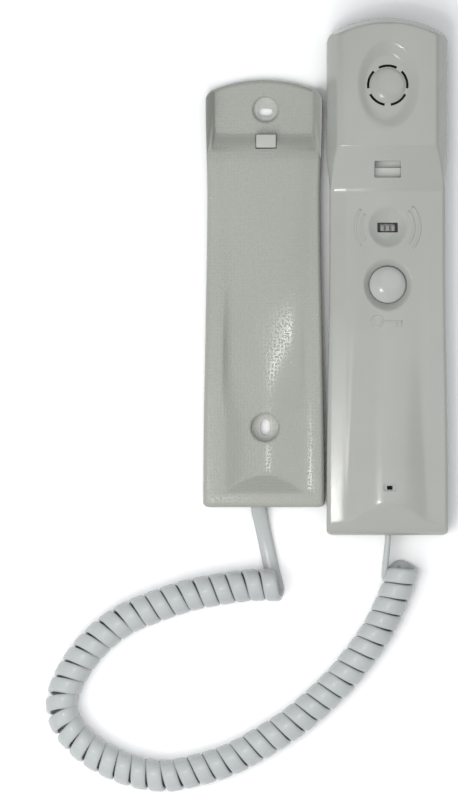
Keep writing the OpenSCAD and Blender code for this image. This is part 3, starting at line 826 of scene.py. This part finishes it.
# ---------------------------------------------------------------- handset front shell
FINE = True
SHELL_COLUMNS = 121 if FINE else 81
HANDSET_ROWS = 381 if FINE else 241
handset_front = shell_mesh("handset_front", HANDSET, SHELL_COLUMNS, HANDSET_ROWS)
cutters = bmesh.new()
hole(cutters, circle(BUTTON_HOLE_R), (HANDSET_CX, BUTTON_Y))
hole(cutters, rounded_rect(4.2, 2.0, 0.3), (HANDSET_CX, VOLUME_Y))
hole(cutters, rounded_rect(LATCH_HALF_X, LATCH_HALF_Y, 0.5), (HANDSET_CX, LATCH_Y))
for k in range(5):
    hole(cutters, arc_slot(7.5, 8.5, 90 + 72 * k, 54), (HANDSET_CX, EAR_Y))
# The microphone's recess, then its hole through the recess's floor
prism(cutters, rounded_rect(2.65, 1.4, 0.5), 21.75, ABOVE_Z, (HANDSET_CX + 0.95, MIC_Y))
cut(handset_front, cutters)
cutters = bmesh.new()
hole(cutters, rounded_rect(1.15, 0.8, 0.2), (HANDSET_CX + 0.85, MIC_Y))
cut(handset_front, cutters)
handset_front.data.materials.append(ivory_gloss)
smooth_by_angle(handset_front, 32)
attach(handset_front, "handset")
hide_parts("handset_front_shell")


def quarter_dome(radius, foot_z, rise):
    """The (radius, z) points up a dome's side, short of its top."""
    return [
        (radius * math.cos(math.radians(a)), foot_z + rise * math.sin(math.radians(a)))
        for a in range(0, 90, 6)
    ]


# The grille's low dome, inside its ring of slots
dome = revolve(
    "earpiece_dome",
    [(0, 21.9), (7.2, 21.9), *quarter_dome(7.2, 23.75, 1.25), (0, 25.0)],
    (HANDSET_CX, EAR_Y),
    ivory_gloss,
)
smooth_by_angle(dome, 40)
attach(dome, "handset")


def latch_tub():
    """The latch pocket's walls, with a deep floor above and a shallow floor below."""
    half_x, half_y = LATCH_HALF_X - 0.06, LATCH_HALF_Y - 0.06
    place, floor_z, shelf_z, shelf_y = (HANDSET_CX, LATCH_Y), 17.6, 19.4, 0.55
    bm = bmesh.new()
    outline = rounded_rect(half_x, half_y, 0.45)
    top = loop_at(bm, outline, place, 0)
    for v, (x, y) in zip(top, outline):
        v.co.z = (float(handset_face(x, y + LATCH_Y)) - 0.02) * MM
    low = loop_at(bm, outline, place, floor_z)
    for k in range(len(outline)):
        k2 = (k + 1) % len(outline)
        bm.faces.new((top[k2], top[k], low[k], low[k2]))
    bm.faces.new(low)
    side, end = half_x - 0.01, half_y - 0.01
    shelf = [(-side, -end), (side, -end), (side, shelf_y), (-side, shelf_y)]
    up, down = loop_at(bm, shelf, place, shelf_z), loop_at(bm, shelf, place, floor_z)
    bm.faces.new(up)
    bm.faces.new((up[2], up[3], down[3], down[2]))
    bmesh.ops.recalc_face_normals(bm, faces=bm.faces)
    # The pocket's walls and floors take the lighter ivory: painted light against the shade in the
    # pocket
    obj = add_bmesh("latch_tub", bm, pocket_painted_light)
    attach(obj, "handset")


latch_tub()


# ---------------------------------------------------------------- raised marks
def raised_line(name, plan, width, height, close=False):
    """A low rounded ridge along points in plan, lying on the handset's face."""
    pts = [Vector((HANDSET_CX + x, y, float(handset_skin(x, y)) - height * 0.25)) for x, y in plan]
    if close:
        pts = pts + pts[:1]
    section = [(width / 2 * x, height * max(-0.6, y)) for x, y in circle(1, 10)]
    frames = []
    for i in range(len(pts)):
        t = tangent(pts, i)
        if close and i in (0, len(pts) - 1):
            t = (pts[1] - pts[-2]).normalized()
        frames.append((t.cross(UP).normalized() * MM, UP * MM))
    obj = sweep_mesh(name, [p * MM for p in pts], frames, section, ivory_gloss)
    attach(obj, "handset")


# Waves on either side of the volume dish: two arcs each, of this radius and half angle
WAVE_LINE = (1.3, 0.2)  # width and height
WAVES = {"left": ((10.8, 30), (13.2, 34)), "right": ((10.8, 38), (13.2, 40))}
for side_name, arcs in WAVES.items():
    side = -1 if side_name == "left" else 1
    for order, (radius, half_angle) in enumerate(arcs):
        angles = np.radians(np.linspace(-half_angle, half_angle, 25))
        arc = [on_circle(radius, a) for a in angles]
        plan = [(side * x, VOLUME_Y + y) for x, y in arc]
        raised_line(f"wave_{side_name}_{order + 1}", plan, *WAVE_LINE)

# A plain key: a ring, a shaft and two teeth
KEY_LINE = (1.2, 0.16)
key_ring = [(-4.2 + x, KEY_Y + y) for x, y in circle(2.2, 24)]
raised_line("key_ring", key_ring, *KEY_LINE, close=True)
key_shaft = [(x, KEY_Y) for x in np.linspace(-2.0, 6.0, 16)]
raised_line("key_shaft", key_shaft, *KEY_LINE)
for i, x in enumerate((3.4, 5.3)):
    tooth = [(x, KEY_Y - d) for d in np.linspace(0.1, 2.0, 5)]
    raised_line(f"key_tooth_{i + 1}", tooth, *KEY_LINE)


# ---------------------------------------------------------------- handset back shell
def lofted_tub(name, outer_levels, inner_levels):
    """A tray of the handset's outline: (inset, z) rings down the outside and up the inside."""
    rows, columns = 161, 61
    ring = rim_ring(rows, columns)
    verts = []
    for inset, z in outer_levels + inner_levels:
        grid = shell_grid(HANDSET, columns, rows, inset)
        verts += [(*(grid[place][:2] * MM), z * MM) for place in ring]
    n = len(ring)
    starts = range(0, len(verts), n)
    outer_floor, inner_floor = starts[len(outer_levels) - 1], starts[len(outer_levels)]
    faces = []
    for a, b in [*zip(starts, starts[1:]), (starts[-1], starts[0])]:
        if a != outer_floor:
            faces += [(a + k, a + (k + 1) % n, b + (k + 1) % n, b + k) for k in range(n)]
    faces.append(tuple(outer_floor + k for k in range(n - 1, -1, -1)))
    faces.append(tuple(inner_floor + k for k in range(n)))
    obj = add_mesh(name, verts, faces)
    bm = bmesh.new()
    bm.from_mesh(obj.data)
    bmesh.ops.recalc_face_normals(bm, faces=bm.faces)
    bm.to_mesh(obj.data)
    bm.free()
    return obj


BACK_ROUND = 4.0
BACK_TOP_Z = HANDSET.rim_z - 0.12
back_outer = [(0.0, BACK_TOP_Z), (0.02, 4.6)]
for a in range(8, 79, 10):
    c, s = on_circle(BACK_ROUND, math.radians(a))
    back_outer.append((BACK_ROUND - c, BACK_ROUND - s))
back_outer.append((BACK_ROUND, 0.0))
back_inner = [(5.2, 2.0), (3.0, 2.6), (2.2, 4.0), (2.0, BACK_TOP_Z)]
handset_back = lofted_tub("handset_back", back_outer, back_inner)
# The shell screws' holes
cutters = bmesh.new()
for y in (56, -68):
    prism(cutters, circle(3.0, 48), BELOW_Z, 3.4, (HANDSET_CX, y))
cut(handset_back, cutters)
handset_back.data.materials.append(ivory_gloss)
smooth_by_angle(handset_back, 40)
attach(handset_back, "handset")
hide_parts("handset_back_shell")

# ---------------------------------------------------------------- cradle shell
CRADLE_ROWS = 321 if FINE else 201
cradle = shell_mesh("cradle_body", CRADLE, SHELL_COLUMNS, CRADLE_ROWS)
# The screw recesses, the notch that shows the hook tab, and the lead's hole in the foot
cutters = bmesh.new()
for screw in SCREWS:
    hole(cutters, circle(screw.recess), (screw.x, screw.y))
hole(cutters, rounded_rect(4.3, 2.95, 0.4), (TAB_X, 55.65))
prism(cutters, rounded_rect(3.6, 2.2, 0.4), 0.5, 5.1, (LEAD_X, CRADLE_Y0 + 0.8))
cut(cradle, cutters)
# Room under the skin for the hook tab's travel
cutters = bmesh.new()
prism(cutters, rounded_rect(4.3, 3.3, 0.4), 0, 7.22, (TAB_X, 53.2))
cut(cradle, cutters)
cradle.data.materials.append(grey_textured)
smooth_by_angle(cradle, 36)
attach(cradle, "cradle")
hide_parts("cradle_shell")


def screw_recess(name, screw):
    """A cup from the cradle's face down to a slotted seat."""
    r, seat = screw.recess, screw.seat
    top = min(
        float(cradle_face(screw.x - CRADLE_CX + r * math.cos(a), screw.y + r * math.sin(a)))
        for a in np.linspace(0, 2 * math.pi, 24)
    )
    outside = [(0, 1.25), (r + 1.0, 1.25), (r + 1.0, top - 1.1), (r + 0.03, top - 1.0)]
    inside = [(r + 0.02, seat + 0.5), (r - 0.15, seat + 0.12), (r - 0.5, seat), (0, seat)]
    cup = revolve(name, outside + inside, (screw.x, screw.y))
    cutters = bmesh.new()
    slot = slot_outline(screw.slot_half, screw.slot_r, screw.along_x)
    hole(cutters, slot, (screw.x, screw.y + screw.slot_y))
    cut(cup, cutters)
    # The cup takes the lighter grain: painted light against the shade in the recess
    cup.data.materials.append(recess_painted_light)
    smooth_by_angle(cup, 40)
    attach(cup, "cradle")


for number, screw in enumerate(SCREWS):
    screw_recess(f"screw_recess_{number + 1}", screw)


# ---------------------------------------------------------------- moving controls
def soft_block(name, low, high, radius, material, body):
    """A block with rounded edges, from low to high corners in mm."""
    bm = bmesh.new()
    bmesh.ops.create_cube(bm, size=1)
    for v in bm.verts:
        v.co = Vector([(a + b) / 2 + c * (b - a) for a, b, c in zip(low, high, v.co)]) * MM
    edges = bm.edges[:]
    bmesh.ops.bevel(bm, geom=edges, offset=radius * MM, segments=4, profile=0.5, affect="EDGES")
    obj = add_bmesh(name, bm, material)
    smooth_by_angle(obj, 40)
    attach(obj, body)
    return obj


tab_low, tab_high = node_box_mm("hook_tab")
head_low = (tab_low[0], TAB_FOOT_Y, tab_low[2])
tab = soft_block("hook_tab_head", head_low, tab_high, 0.35, tab_plastic, "hook_tab")
shank_low = (TAB_X - 2.5, tab_low[1], tab_low[2])
shank_high = (TAB_X + 2.5, TAB_FOOT_Y + 0.3, 5.0)
shank = soft_block("hook_tab_shank", shank_low, shank_high, 0.25, tab_plastic, "hook_tab")
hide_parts("hook_tab")

button_top = node_box_mm("door_button")[1][2]
BUTTON_R, SHOULDER_Z = 7.5, 19.1
stem = [(0, 12.0), (2, 12.0), (2, 15.2), (5.8, 15.2)]
collar = [(5.8, 12.3), (8.9, 12.3), (8.9, 13.4), (BUTTON_R, 13.4), (BUTTON_R, SHOULDER_Z - 0.3)]
crown = quarter_dome(BUTTON_R, SHOULDER_Z, button_top - SHOULDER_Z)
button = revolve(
    "door_button_cap",
    [*stem, *collar, *crown, (0, button_top)],
    (HANDSET_CX, BUTTON_Y),
    button_gloss,
)
smooth_by_angle(button, 45)
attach(button, "door_button")
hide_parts("door_button")


def slider_block(name, low, high, radius, material):
    """A block of the volume slider, with its corners measured from the middle of the window."""
    low, high = ((HANDSET_CX + x, VOLUME_Y + y, z) for x, y, z in (low, high))
    return soft_block(name, low, high, radius, material, "volume_slider")


plate = slider_block("volume_plate", (-6.2, -2.6, 15.6), (6.2, 2.6, 16.3), 0.15, plate_grey)
knob = slider_block("volume_knob", (-3, -1.6, 16.2), (3, 1.6, 17.9), 0.2, knob_plastic)
for i in range(-1, 2):
    low, high = (2.2 * i - 0.7, -1.4, 17.7), (2.2 * i + 0.7, 0.9, 18.9)
    rib = slider_block(f"volume_rib_{i + 2}", low, high, 0.2, rib_plastic)
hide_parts("volume_slider")


# ---------------------------------------------------------------- springs
SPRING_STEPS = 24


def spring(node, body, axis, wire, turns):
    """A coil spring in its node's box, wound from the low end of axis, towards which its joint
    presses; the wire keeps its rest shape.
    """
    low, high = (Vector(corner) for corner in node_box_mm(node))
    along = Vector([float(k == axis) for k in range(3)])
    across = Vector([float(k == (axis + 1) % 3) for k in range(3)])
    other = along.cross(across)
    length = high[axis] - low[axis]
    base = (low + high) / 2 - along * length / 2
    radius = (high - low)[(axis + 1) % 3] / 2 - wire
    pitch = (length - 2 * wire) / turns
    path, frames = [], []
    for i in range(SPRING_STEPS * turns + 1):
        a = math.tau * i / SPRING_STEPS
        radial = across * math.cos(a) + other * math.sin(a)
        forward = (other * math.cos(a) - across * math.sin(a)) * math.tau * radius + along * pitch
        path.append((base + radial * radius + along * (wire + pitch * i / SPRING_STEPS)) * MM)
        frames.append((radial.cross(forward.normalized()) * MM, radial * MM))
    obj = sweep_mesh(f"{node}_wire", path, frames, circle(wire, 10), spring_steel)
    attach(obj, body)
    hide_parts(node)
    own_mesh(obj)


spring("hook_spring", "cradle", axis=1, wire=0.25, turns=6)
spring("door_button_spring", "handset", axis=2, wire=0.3, turns=3)

# ---------------------------------------------------------------- floor and light
floor_white = new_material("floor_white", (0.93, 0.93, 0.93), 0.75)[0]
floor_corners = [(-3, -3, 0), (3, -3, 0), (3, 3, 0), (-3, 3, 0)]
floor = add_mesh("floor", floor_corners, [(0, 1, 2, 3)], floor_white)
floor.location.z = -0.0003  # just under the coil


def area_light(name, place, aim, size, power, colour=(1, 1, 1)):
    """A round light that points at a place."""
    data = bpy.data.lights.new(name, "AREA")
    data.shape = "DISK"
    data.size = size
    data.energy = power
    data.color = colour
    obj = bpy.data.objects.new(name, data)
    obj.location = place
    obj.rotation_euler = (Vector(aim) - Vector(place)).to_track_quat("-Z", "Y").to_euler()
    scene.collection.objects.link(obj)
    return obj


flash_at, warm = (-0.085, -0.105, 0.62), (1, 0.99, 0.97)
area_light("flash", flash_at, aim=(-0.02, -0.03, 0), size=0.03, power=0.22, colour=warm)
soft_key = area_light("soft_key", (-0.26, -0.32, 0.62), aim=(0, -0.03, 0), size=0.7, power=4.2)
soft_key.visible_glossy = False
area_light("soft_top", (0.25, 0.3, 1.2), aim=(0, 0, 0), size=1.0, power=2.5)
world = bpy.data.worlds.new("studio")
world.use_nodes = True
world.node_tree.nodes["Background"].inputs["Color"].default_value = (0.95, 0.97, 1.0, 1)
world.node_tree.nodes["Background"].inputs["Strength"].default_value = 0.55
scene.world = world
scene.view_settings.view_transform = "Standard"
